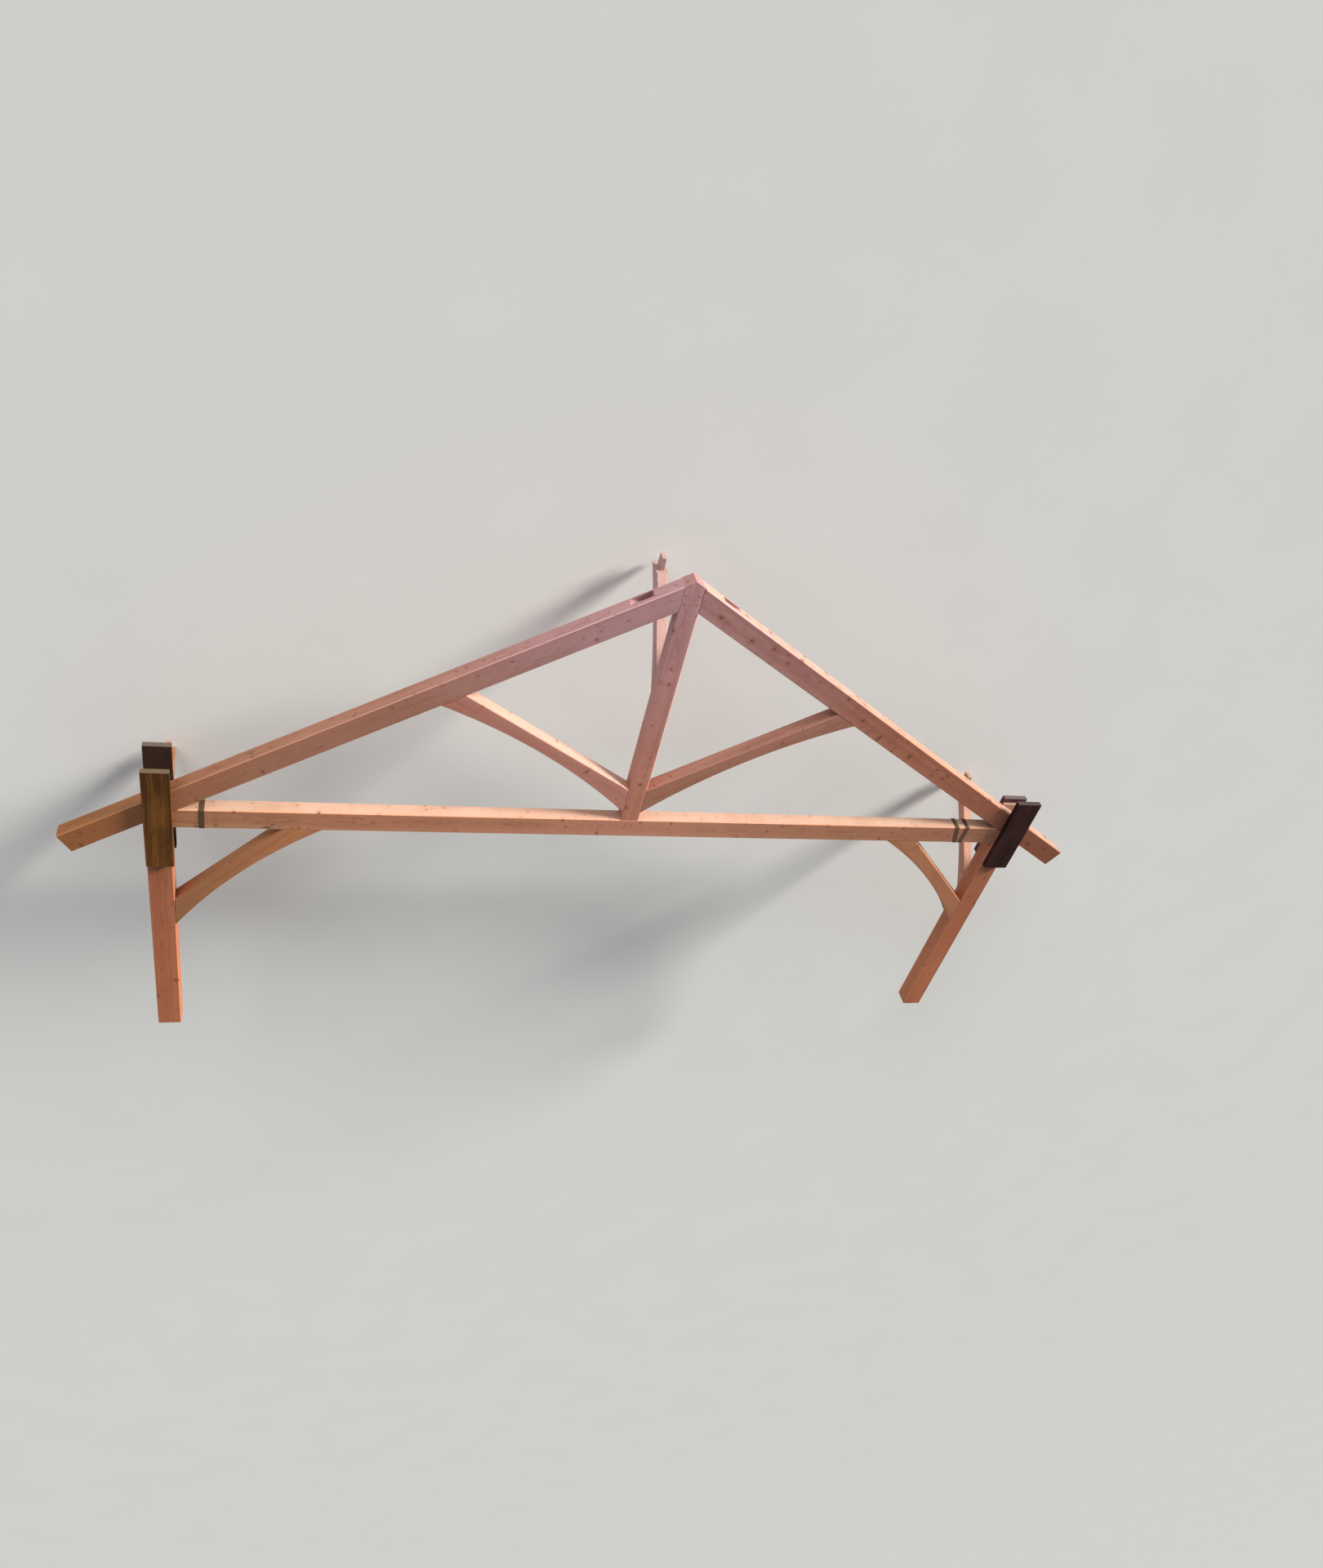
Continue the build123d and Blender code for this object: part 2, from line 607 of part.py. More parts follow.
with BuildPart() as pegs_rafter_post_left:
    mirror(pegs_rafter_post_right.part, about=Plane.YZ)

# Lashing at the left: one turn of flat strap round the tie beam
round_t, round_w = FRAME_T + 2 * SEAT, TIE_W + 2 * SEAT
with BuildPart() as strap_left:
    with BuildSketch(SIDE.offset(STRAP_LEFT_IN - HALF_SPAN - STRAP_W / 2)):
        with Locations((FRAME_T / 2, TIE_UP + TIE_W / 2)):
            Rectangle(round_t + 2 * STRAP_T, round_w + 2 * STRAP_T)
            Rectangle(round_t, round_w, mode=Mode.SUBTRACT)
    extrude(amount=STRAP_W)

# Lashing at the right: two turns of the same strap, drawn together at the foot
strap_low, strap_up = TIE_UP - SEAT - STRAP_T, TIE_TOP + SEAT + STRAP_T
turns = (
    (HALF_SPAN - STRAP_INNER_IN, STRAP_INNER_LEAN),
    (HALF_SPAN - STRAP_OUTER_IN, STRAP_OUTER_LEAN),
)
with BuildPart() as strap_right:
    for foot, lean in turns:
        with BuildSketch(FACE.offset(SEAT), FACE.offset(-FRAME_T - SEAT - STRAP_T)):
            with BuildLine():
                Polyline(
                    (foot - STRAP_W / 2, strap_low), (foot + STRAP_W / 2, strap_low),
                    (foot + lean + STRAP_W / 2, strap_up), (foot + lean - STRAP_W / 2, strap_up),
                    close=True,
                )
            make_face()
        extrude(amount=STRAP_T)
        with BuildSketch(FACE.offset(SEAT)):
            with Locations(
                (foot, strap_low + STRAP_T / 2), (foot + lean, strap_up - STRAP_T / 2),
            ):
                Rectangle(STRAP_W, STRAP_T)
        extrude(amount=-round_t)

os.makedirs("parts", exist_ok=True)
nodes = {
    "rafter_left": rafter_left, "rafter_right": rafter_right, "king_post": king_post,
    "tie_beam": tie_beam, "strut_left": strut_left, "strut_right": strut_right,
    "post_left": post_left, "post_right": post_right,
    "knee_brace_left": knee_brace_left, "knee_brace_right": knee_brace_right,
    "ridge_brace": ridge_brace, "eave_brace_left": eave_brace_left,
    "eave_brace_right": eave_brace_right,
    "board_front_left": board_front_left, "board_front_right": board_front_right,
    "board_rear_left": board_rear_left, "board_rear_right": board_rear_right,
    "packer_right": packer_right,
    "pegs_king_head": pegs_king_head, "pegs_king_foot": pegs_king_foot,
    "pegs_strut_feet": pegs_strut_feet,
    "pegs_strut_head_left": pegs_strut_head_left, "pegs_strut_head_right": pegs_strut_head_right,
    "pegs_knee_tie_left": pegs_knee_tie_left, "pegs_knee_tie_right": pegs_knee_tie_right,
    "pegs_knee_post_left": pegs_knee_post_left, "pegs_knee_post_right": pegs_knee_post_right,
    "pegs_tie_post_left": pegs_tie_post_left, "pegs_tie_post_right": pegs_tie_post_right,
    "pegs_rafter_post_left": pegs_rafter_post_left, "pegs_rafter_post_right": pegs_rafter_post_right,
    "strap_left": strap_left, "strap_right": strap_right,
}
for label, node in nodes.items():
    node.part.label = label
    export_step(node.part, f"parts/{label}.step")
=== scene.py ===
import math

import bpy
from mathutils import Matrix, Vector


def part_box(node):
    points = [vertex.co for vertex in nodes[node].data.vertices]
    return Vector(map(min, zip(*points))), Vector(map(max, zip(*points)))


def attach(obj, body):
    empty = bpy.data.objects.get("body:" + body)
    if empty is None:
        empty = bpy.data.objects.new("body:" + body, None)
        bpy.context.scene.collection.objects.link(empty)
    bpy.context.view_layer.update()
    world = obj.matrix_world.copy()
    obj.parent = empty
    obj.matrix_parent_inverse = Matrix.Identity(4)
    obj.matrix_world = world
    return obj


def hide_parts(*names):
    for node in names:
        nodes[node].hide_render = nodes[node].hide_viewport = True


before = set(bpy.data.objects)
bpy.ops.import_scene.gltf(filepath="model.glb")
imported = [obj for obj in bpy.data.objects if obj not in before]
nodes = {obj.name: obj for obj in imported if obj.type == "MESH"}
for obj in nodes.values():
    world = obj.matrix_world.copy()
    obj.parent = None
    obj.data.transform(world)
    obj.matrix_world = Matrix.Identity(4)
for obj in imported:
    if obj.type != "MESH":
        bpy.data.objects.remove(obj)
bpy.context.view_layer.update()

# Camera. The truss lies on its rear braces with its front face up, and the camera keeps the
# viewpoint that the standing truss was seen from: above the ridge, in front and to the left.
viewpoint = (-4.422, 10.921, 12.925)
view_right = Vector((0.95424, 0.22176, 0.20061))
view_down = Vector((0.03115, -0.74092, 0.67087))
view_ahead = Vector((0.29741, -0.63393, -0.71392))
focal_pixels, frame_pixels, film_height = 1462.6, 1920, 36.0
camera = bpy.data.objects.new("camera", bpy.data.cameras.new("camera"))
bpy.context.scene.collection.objects.link(camera)
facing = Matrix((view_right, -view_down, -view_ahead)).transposed().to_4x4()
camera.matrix_world = Matrix.Translation(viewpoint) @ facing
camera.data.sensor_fit = "VERTICAL"
camera.data.sensor_height = film_height
camera.data.lens = focal_pixels / frame_pixels * film_height
camera.data.clip_start, camera.data.clip_end = 0.1, 400.0
bpy.context.scene.camera = camera

# Lashings. Flat woven straps are drawn tight round the tie beam near each post: one turn at
# the left, two turns at the right that draw together at the foot. They are brown webbing.


class Field:
    """A value that varies over a piece. Sums and products of it add Math nodes."""

    def __init__(self, maker, socket):
        self.maker, self.socket = maker, socket

    def also(self, output):
        """Another output of the same node."""
        return Field(self.maker, self.socket.node.outputs[output])

    def __add__(self, other):
        return self.maker.maths("ADD", self, other)

    def __sub__(self, other):
        return self.maker.maths("SUBTRACT", self, other)

    def __rsub__(self, other):
        return self.maker.maths("SUBTRACT", other, self)

    def __mul__(self, other):
        return self.maker.maths("MULTIPLY", self, other)

    def __truediv__(self, other):
        return self.maker.maths("DIVIDE", self, other)

    def __pow__(self, other):
        return self.maker.maths("POWER", self, other)

    __radd__, __rmul__ = __add__, __mul__


class Maker:
    """A shape or a material under construction, as a tree of nodes."""

    def __init__(self, tree):
        self.tree = tree

    def give(self, socket, value):
        """Links a value that varies to a socket, or sets a plain one on it."""
        if isinstance(value, Field):
            self.tree.links.new(value.socket, socket)
        else:
            socket.default_value = value

    def node(self, kind, settings=(), inputs=(), output=0):
        """Any node: its type, its settings, the values or links of its sockets."""
        node = self.tree.nodes.new(kind)
        for key, value in dict(settings).items():
            setattr(node, key, value)
        for key, value in dict(inputs).items():
            self.give(node.inputs[key], value)
        return Field(self, node.outputs[output])

    def maths(self, operation, *values):
        return self.node("ShaderNodeMath", {"operation": operation}, dict(enumerate(values)))

    def vectors(self, operation, *values, scale=1.0):
        inputs = dict(enumerate(values)) | {3: scale}
        return self.node("ShaderNodeVectorMath", {"operation": operation}, inputs)

    def parts(self, vector):
        """The three numbers of a vector."""
        x = self.node("ShaderNodeSeparateXYZ", {}, {0: vector})
        return x, x.also("Y"), x.also("Z")

    def joined(self, x, y, z=0.0):
        """A vector of three numbers."""
        return self.node("ShaderNodeCombineXYZ", {}, {0: x, 1: y, 2: z})


class Finish(Maker):
    """A material under construction, on one Principled shader."""

    def __init__(self, name):
        self.material = bpy.data.materials.new(name)
        self.material.use_nodes = True
        super().__init__(self.material.node_tree)
        self.shader = self.tree.nodes["Principled BSDF"]

    def surface(self):
        """Where each point of the piece lies, in metres."""
        return self.node("ShaderNodeTexCoord", output="Object")

    def laid(self, vector, scale=(1, 1, 1), shift=(0, 0, 0), turn=(0, 0, 0)):
        """A pattern's own coordinates: vector, scaled, then turned, then shifted."""
        inputs = {"Vector": vector, "Scale": scale, "Rotation": turn, "Location": shift}
        return self.node("ShaderNodeMapping", {}, inputs)

    def step(self, value, low, high, at_low=0.0, at_high=1.0):
        """Runs smoothly from at_low to at_high while value goes from low to high."""
        limits = {"From Min": low, "From Max": high, "To Min": at_low, "To Max": at_high}
        return self.node(
            "ShaderNodeMapRange", {"interpolation_type": "SMOOTHSTEP"},
            {"Value": value, **limits},
        )

    def noise(self, vector, scale, detail=3.0, roughness=0.5):
        return self.node(
            "ShaderNodeTexNoise", {},
            {"Vector": vector, "Scale": scale, "Detail": detail, "Roughness": roughness},
        )

    def grain(self, vector, scale, shift=(0, 0, 0), detail=2.0, roughness=0.5):
        """Noise that is drawn out more along one axis than along the others."""
        return self.noise(self.laid(vector, scale, shift), 1.0, detail, roughness)

    def blend(self, factor, first, second, mode="MIX"):
        """Colours go from first to second as factor goes from 0 to 1."""
        return self.node(
            "ShaderNodeMix", {"data_type": "RGBA", "blend_type": mode},
            {0: factor, 6: first, 7: second}, output=2,
        )

    def finish(self, colour, roughness, height, depth, shine=0.3):
        """The material, with a relief that is depth metres deep where height is 1."""
        relief = self.node(
            "ShaderNodeBump", {}, {"Height": height, "Distance": depth, "Strength": 1.0}
        )
        for key, value in (("Base Color", colour), ("Roughness", roughness), ("Normal", relief)):
            self.give(self.shader.inputs[key], value)
        self.shader.inputs["Specular IOR Level"].default_value = shine
        return self.material


def shade(red, green, blue, times=1.0):
    """A colour in 0 to 255, made lighter or darker by times, as Blender wants it."""
    parts = [part * times / 255 for part in (red, green, blue)]
    return (*(p / 12.92 if p <= 0.04045 else ((p + 0.055) / 1.055) ** 2.4 for p in parts), 1.0)


yarn_pitch, pick_pitch = 0.0033, 0.0042
webbing = Finish("webbing")
weave = webbing.node("ShaderNodeUVMap", {"uv_map": "weave"})
lengthwise, crosswise, _ = webbing.parts(weave)
yarn = webbing.maths("SINE", crosswise * (2 * math.pi / yarn_pitch))
pick = webbing.maths("SINE", lengthwise * (2 * math.pi / pick_pitch))
cloth = yarn * pick * 0.5 + 0.5
stain = webbing.noise(webbing.surface(), 9.0, 5.0, 0.6)
fuzz = webbing.noise(weave, 900.0, 2.0)
# Where the weave sinks, the yarn is painted darker than where it stands proud: painted shade in
# the weave's hollows.
sunk_shaded_yarn = webbing.blend(webbing.step(stain, 0.35, 0.7), shade(56, 34, 20), shade(76, 50, 32))
proud_yarn = webbing.blend(fuzz, shade(82, 54, 34), shade(100, 72, 48))
webbing_skin = webbing.finish(
    webbing.blend(cloth, sunk_shaded_yarn, proud_yarn), webbing.step(cloth, 0.0, 1.0, 0.82, 0.7),
    cloth + fuzz * 0.3, depth=0.0009,
)

# The strap's tree wraps a grid into a closed flat tube along a rounded path, ripples it a
# little, and keeps on it the metres along and across the webbing for the weave.
strap = bpy.data.node_groups.new("webbing band", "GeometryNodeTree")
strap.interface.new_socket("Geometry", in_out="INPUT", socket_type="NodeSocketGeometry")
for label in ("Width", "Thickness", "Corner", "Spacing", "Slack", "Seed"):
    strap.interface.new_socket(label, in_out="INPUT", socket_type="NodeSocketFloat")
strap.interface.new_socket("Material", in_out="INPUT", socket_type="NodeSocketMaterial")
strap.interface.new_socket("Geometry", in_out="OUTPUT", socket_type="NodeSocketGeometry")

band = Maker(strap)
given = band.node("NodeGroupInput")
corner_steps, points_round = 7, 25
route = band.node(
    "GeometryNodeFilletCurve", {"mode": "POLY"},
    {"Curve": given, "Count": corner_steps, "Radius": given.also("Corner"), "Limit Radius": True},
)
run = band.node("GeometryNodeCurveLength", {}, {"Curve": route})
stations = band.maths("ROUND", run / given.also("Spacing"))
grid = band.node(
    "GeometryNodeMeshGrid", {},
    {"Size X": 1.0, "Size Y": 1.0, "Vertices X": stations, "Vertices Y": points_round},
)
grid_x, grid_y, _ = band.parts(band.node("GeometryNodeInputPosition"))
along = grid_x + 0.5
angle = grid_y * (2 * math.pi)
point = band.node(
    "GeometryNodeSampleCurve", {"mode": "FACTOR", "use_all_curves": True},
    {"Curves": route, "Factor": along},
)
centre, heading = point.also("Position"), point.also("Tangent")
outward = band.vectors("NORMALIZE", band.vectors("CROSS_PRODUCT", heading, (-1.0, 0.0, 0.0)))
sideways = band.vectors("NORMALIZE", band.vectors("CROSS_PRODUCT", outward, heading))


def blunted(wave, power):
    """A wave from -1 to 1 that stays near its ends for longer, for a flat round-edged band."""
    return band.maths("SIGN", wave) * band.maths("ABSOLUTE", wave) ** power


across = blunted(band.maths("COSINE", angle), 0.4) * (given.also("Width") * 0.5)
through = blunted(band.maths("SINE", angle), 0.75) * (given.also("Thickness") * 0.5)
ripple = band.node(
    "ShaderNodeTexNoise", {"noise_dimensions": "4D"},
    {"Vector": centre, "W": given.also("Seed"), "Scale": 16.0, "Detail": 1.0},
)
spread = band.vectors("SCALE", sideways, scale=across)
raised = band.vectors("SCALE", outward, scale=through + ripple * given.also("Slack"))
wrapped = band.vectors("ADD", centre, band.vectors("ADD", spread, raised))
marked = band.node(
    "GeometryNodeStoreNamedAttribute", {"data_type": "FLOAT2", "domain": "CORNER"},
    {"Geometry": grid, "Name": "weave", "Value": band.joined(along * run, across)},
)
bent = band.node("GeometryNodeSetPosition", {}, {"Geometry": marked, "Position": wrapped})
closed = band.node("GeometryNodeMergeByDistance", {}, {"Geometry": bent, "Distance": 0.0002})
smooth = band.node("GeometryNodeSetShadeSmooth", {}, {"Geometry": closed, "Shade Smooth": True})
real = band.node("GeometryNodeRealizeInstances", {}, {"Geometry": smooth})
coated = band.node(
    "GeometryNodeSetMaterial", {}, {"Geometry": real, "Material": given.also("Material")}
)
band.give(strap.nodes.new("NodeGroupOutput").inputs["Geometry"], coated)

strap_sizes = {
    "Width": 0.066, "Thickness": 0.0032, "Corner": 0.014, "Spacing": 0.004, "Slack": 0.0014,
    "Material": webbing_skin,
}
clear_of_beam = 0.0004
off_beam = strap_sizes["Thickness"] / 2 + clear_of_beam
tie_low, tie_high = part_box("tie_beam")
front, rear = tie_high.z + off_beam, tie_low.z - off_beam
bottom, top = tie_low.y - off_beam, tie_high.y + off_beam
for name, stands_for, foot_x, head_x, seed in (
    ("lashing_left", "strap_left", -5.437, -5.437, 3.0),
    ("lashing_right_inner", "strap_right", 5.125, 5.050, 4.0),
    ("lashing_right_outer", "strap_right", 5.208, 5.222, 5.0),
):
    path = bpy.data.curves.new(name + " path", "CURVE")
    path.dimensions = "3D"
    turn = path.splines.new("POLY")
    corners = (
        (foot_x, bottom, front), (head_x, top, front),
        (head_x, top, rear), (foot_x, bottom, rear),
    )
    turn.points.add(len(corners) - 1)
    for point, corner in zip(turn.points, corners):
        point.co = (*corner, 1.0)
    turn.use_cyclic_u = True
    strung = bpy.data.objects.new(name + " path", path)
    bpy.context.scene.collection.objects.link(strung)
    modifier = strung.modifiers.new("webbing band", "NODES")
    modifier.node_group = strap
    sizes = {**strap_sizes, "Seed": seed}
    for item in strap.interface.items_tree:
        if item.in_out == "INPUT" and item.name in sizes:
            modifier[item.identifier] = sizes[item.name]
    depsgraph = bpy.context.evaluated_depsgraph_get()
    wound = strung.evaluated_get(depsgraph)
    lashing_mesh = bpy.data.meshes.new_from_object(wound, depsgraph=depsgraph)
    bpy.data.objects.remove(strung)
    lashing = bpy.data.objects.new(name, lashing_mesh)
    bpy.context.scene.collection.objects.link(lashing)
    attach(lashing, "root")
    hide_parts(stands_for)

# Posts. Two heavy squared posts of fresh sawn softwood carry the truss. Each is one boxed
# heart stick, planed on four sides, its edges eased, with small knots and drying checks.


def timber(name, butt, tip, heart, tones, branches, seed, cuts, painted_sunlit_faces=(), arris=0.0):
    """Boxed heart softwood. Its rings run round a line from butt to tip that lies off centre by
    heart, and its knots point at that line; branches gives the share of whorls that left one and
    the size of the largest. Its own colours, tones, are spread evenly from butt to tip. Each cut
    is a sawn end, and each lit face gets painted sunlight, its colour painted paler where the
    light falls; both are given by a point and a normal. For a straight stick, arris is half its
    width and half its depth together."""
    coat = Finish(name)
    turn = (tip - butt).normalized().rotation_difference(Vector((1, 0, 0)))
    skin = coat.surface()
    local = coat.laid(skin, turn=turn.to_euler(), shift=-(turn @ butt) - Vector((0, *heart)))

    # The tree grew a little crooked, so the heart line wanders and the planed faces cut arches.
    wander = 0.07
    bend = coat.grain(local, (0.55, 2.6, 2.6), (seed * 3.7, seed, -seed), 2.0, 0.45)
    grown = coat.vectors("MULTIPLY_ADD", bend.also("Color"), (0.0, wander, wander), local)
    x, y, z = coat.parts(grown)
    y, z = y - wander / 2, z - wander / 2
    radius = (y * y + z * z + 1e-6) ** 0.5
    round_y, round_z = y / radius, z / radius

    # Knots are old branches. They swell the rings near by and are darkest at their bark rim.
    whorls_a_metre, rays_round = 9.0, 1.5
    whorl = coat.joined(
        x * whorls_a_metre + seed * 5.3, round_y * rays_round, round_z * rays_round
    )
    branch = coat.node("ShaderNodeTexVoronoi", {"feature": "F1"}, {"Vector": whorl, "Scale": 1.0})
    chance = coat.node("ShaderNodeSeparateColor", {}, {"Color": branch.also("Color")})
    often, largest = branches
    size = coat.step(chance.also("Green"), 0.0, 1.0, largest * 0.4, largest)
    there = coat.step(chance, 0.99 - often, 1.01 - often) * coat.step(radius, 0.05, 0.08)
    from_knot = branch / size
    near = coat.step(from_knot, 1.0, 3.4, 1.0, 0.0) * there
    inside = coat.step(from_knot, 0.86, 1.0, 1.0, 0.0) * there
    rim = coat.step(from_knot, 0.6, 0.93) * inside

    # Each year ring grows slowly darker and ends sharply at its late wood.
    ring_width, knot_swelling = 0.0046, 0.011
    wobble = coat.grain(local, (1.4, 24.0, 24.0))
    ring = (radius + near * knot_swelling) * (1 / ring_width) + wobble * 0.9
    phase = coat.maths("FRACT", ring)
    late = coat.step(phase, 0.35, 0.9) * coat.step(phase, 0.93, 1.0, 1.0, 0.0)
    years = coat.joined(radius * 34.0 + near * 0.4, x * 0.12, seed * 1.9)
    season = coat.noise(years, 1.0, 2.0, 0.6)
    fibre = coat.grain(grown, (9.0, 420.0, 420.0), roughness=0.6)
    cloud = coat.noise(skin, 1.7, 4.0, 0.6)
    blush = coat.grain(local, (0.5, 5.0, 5.0), (seed, 0, 0), 3.0, 0.55)

    # Drying checks open along the grain, here and there, and point at the heart.
    checks_round = 4.2
    opening = coat.joined(x * 0.8 + seed, round_y * checks_round, round_z * checks_round)
    line = coat.maths("ABSOLUTE", coat.noise(opening, 1.0, 2.0, 0.4) - 0.5)
    dry = coat.grain(local, (0.9, 3.0, 3.0), (seed, 4.0, 1.0), 1.0)
    check = coat.step(line, 0.003, 0.008, 1.0, 0.0) * coat.step(dry, 0.6, 0.7)

    def on(faces, near_by, far_off):
        """1 on any of the flat faces, 0 away from them."""
        total = 0.0
        for point, normal in faces:
            level = coat.vectors("DOT_PRODUCT", skin, normal).also("Value")
            off = coat.maths("ABSOLUTE", level - Vector(normal).dot(point))
            total = coat.step(off, near_by, far_off, 1.0, 0.0) + total
        return total

    sawn = on(cuts, 0.0006, 0.0016)

    own = shade(*tones[0])
    span = (tip - butt).length / (len(tones) - 1)
    for number, tone in enumerate(tones[1:]):
        own = coat.blend(coat.step(x, number * span, (number + 1) * span), own, shade(*tone))

    def tint(red, green, blue):
        """The stick's own colour, paler above 1 and darker below it."""
        return coat.blend(1.0, own, (red ** 2.2, green ** 2.2, blue ** 2.2, 1.0), "MULTIPLY")

    dark_years = late * 0.5 + coat.step(season, 0.42, 0.66, 0.0, 0.34)
    colour = coat.blend(dark_years, tint(1.03, 1.03, 1.02), tint(0.84, 0.75, 0.7))
    colour = coat.blend(coat.step(fibre, 0.35, 0.75, 0.0, 0.2), colour, tint(0.8, 0.75, 0.72))
    colour = coat.blend(coat.step(cloud, 0.36, 0.7, 0.0, 0.3), colour, tint(1.08, 1.1, 1.12))
    colour = coat.blend(coat.step(blush, 0.5, 0.75, 0.0, 0.34), colour, tint(0.94, 0.86, 0.78))
    colour = coat.blend(coat.step(radius, 0.15, 0.2, 0.0, 0.3), colour, tint(1.12, 1.18, 1.2))
    # Painted sunlight: the lit faces are painted paler in patches, a painted highlight where the
    # light falls, not a real fading.
    if painted_sunlit_faces:
        painted_sunlight = on(painted_sunlit_faces, 0.003, 0.009) * coat.step(cloud, 0.3, 0.7, 0.42, 0.66)
        colour = coat.blend(painted_sunlight, colour, shade(190, 164, 146))
    colour = coat.blend(sawn * 0.5, colour, tint(0.86, 0.86, 0.8))
    if arris:
        # The long edges are painted paler than the faces: partly fresher wood, eased last of all,
        # and partly a painted highlight where the eased edges catch the light.
        easing = arris - 0.0112
        centred = coat.vectors("ABSOLUTE", coat.vectors("ADD", local, (0.0, *heart)))
        _, from_side, from_face = coat.parts(centred)
        eased = coat.step(from_side + from_face, easing - 0.001, easing)
        colour = coat.blend(eased * 0.9, colour, tint(1.16, 1.19, 1.22))
    colour = coat.blend(near * (1 - inside) * 0.3, colour, tint(0.82, 0.66, 0.56))
    colour = coat.blend(inside * 0.85, colour, tint(0.72, 0.6, 0.52))
    colour = coat.blend(rim * 0.75, colour, shade(82, 47, 36))
    colour = coat.blend(check * 0.8, colour, shade(66, 42, 33))
    gloss = coat.step(late - inside * 0.6 + fibre * 0.4, -0.4, 1.2, 0.5, 0.68)
    saw_marks = sawn * coat.noise(skin, 260.0, 2.0) * 0.8
    height = late * 0.2 + fibre * 0.3 - check * 2.4 - rim * 0.6 + inside * 0.3 + saw_marks
    return coat.finish(colour, gloss, height, depth=0.0005)


def dress(node, material):
    """Gives a piece its finish."""
    nodes[node].data.materials.clear()
    nodes[node].data.materials.append(material)


def centre_line(node, axis):
    """The two ends of a straight stick that lies along an axis, and its arris."""
    low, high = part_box(node)
    middle = (low + high) / 2
    first, last, half = middle.copy(), middle.copy(), high - middle
    first[axis], last[axis], half[axis] = low[axis], high[axis], 0.0
    return first, last, sum(half)


for side, heart, seed in (("left", (0.028, -0.02), 1.0), ("right", (-0.02, 0.024), 2.0)):
    foot, head, arris = centre_line("post_" + side, 1)
    post_wood = timber(
        "post wood " + side, foot, head, heart, ((176, 105, 69), (162, 98, 70)), (0.3, 0.2), seed,
        ((foot, (0, 1, 0)),), arris=arris,
    )
    dress("post_" + side, post_wood)

# Tie beam. One long stick lies between the posts and holds their heads against the thrust
# of the rafters. It is salmon coloured softwood with a scatter of small tight knots.
left_end, right_end, arris = centre_line("tie_beam", 0)
tie_tones = ((172, 120, 87), (183, 125, 95), (188, 130, 104), (172, 118, 90), (160, 108, 82))
# The tie's top face gets painted sunlight: it is painted paler, as where the light falls on it.
tie_top = Vector((0, tie_high.y, 0))
tie_wood = timber(
    "tie wood", left_end, right_end, (0.03, -0.035), tie_tones, (0.72, 0.15), 3.0,
    ((left_end, (1, 0, 0)), (right_end, (1, 0, 0))), painted_sunlit_faces=((tie_top, (0, 1, 0)),),
    arris=arris,
)
dress("tie_beam", tie_wood)

# Rafters. Two principal rafters rise from the post heads at a little over 31 degrees, are
# joined at the ridge, and run on past the posts to square cut tails. Each has a purlin pocket.
pitch = math.radians(31.2)
rafter_deep, rafter_long, pocket_wall_x = 0.305, 7.6, 0.438
left_tones = ((149, 94, 52), (166, 115, 94), (182, 138, 140))
right_tones = ((125, 70, 43), (162, 103, 79), (174, 127, 124))
for side, out, heart, tones, branches, seed in (
    ("left", -1, (0.02, 0.03), left_tones, (0.5, 0.17), 4.0),
    ("right", 1, (-0.03, 0.01), right_tones, (0.36, 0.32), 5.0),
):
    low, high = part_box("rafter_" + side)
    slope = Vector((-out * math.cos(pitch), math.sin(pitch), 0))
    down = Vector((-out * math.sin(pitch), -math.cos(pitch), 0))
    corner = Vector((high.x if out > 0 else low.x, 0, (low.z + high.z) / 2))
    corner.y = low.y + rafter_deep * math.cos(pitch)
    tail = corner + down * rafter_deep / 2
    pocket_wall = Vector((out * pocket_wall_x, 0, 0))
    # Only the right rafter's top face, the one that faces the light, gets painted sunlight,
    # painted paler.
    rafter_wood = timber(
        "rafter wood " + side, tail, tail + slope * rafter_long, heart, tones, branches, seed,
        ((tail, slope), (pocket_wall, (1, 0, 0))),
        painted_sunlit_faces=((corner, -down),) if side == "right" else (),
        arris=(rafter_deep + high.z - low.z) / 2,
    )
    dress("rafter_" + side, rafter_wood)

# King post. It hangs from the ridge and carries the middle of the tie beam; the feet of the
# struts stand on it. The pinkest stick of the truss, with its heart near the rear face.
foot, peak, arris = centre_line("king_post", 1)
king_wood = timber(
    "king wood", foot, peak, (0.02, -0.05), ((185, 122, 100), (184, 137, 138)), (0.32, 0.22), 6.0,
    tuple((peak, (out * math.sin(pitch), math.cos(pitch), 0)) for out in (-1, 1)), arris=arris,
)
dress("king_post", king_wood)

# Struts. Each runs from the king post's foot out to the middle of a rafter and keeps it from
# bending. The underside is sawn to a long shallow arch.
strut_rise = math.radians(31.8)
strut_reach, king_side_x, strut_top_y = 1.5, 0.125, 0.742
for side, lean, tones, seed in (
    ("left", -1, ((185, 126, 112), (181, 123, 107)), 7.0),
    ("right", 1, ((166, 115, 96), (164, 113, 98)), 8.0),
):
    low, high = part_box("strut_" + side)
    middle = (low + high) / 2
    reach = Vector((lean * math.cos(strut_rise), math.sin(strut_rise), 0)) * strut_reach
    foot = Vector((lean * king_side_x, low.y, middle.z))
    up = (-lean * math.sin(strut_rise), math.cos(strut_rise), 0)
    # Only the left strut's top face gets painted sunlight, painted paler where the light falls on
    # it.
    top_face = (Vector((lean * king_side_x, strut_top_y, 0)), up)
    strut_wood = timber(
        "strut wood " + side, middle - reach, middle + reach, (0.025, 0.02), tones, (0.4, 0.17),
        seed, ((foot, (1, 0, 0)),), painted_sunlit_faces=(top_face,) if side == "left" else (),
    )
    dress("strut_" + side, strut_wood)

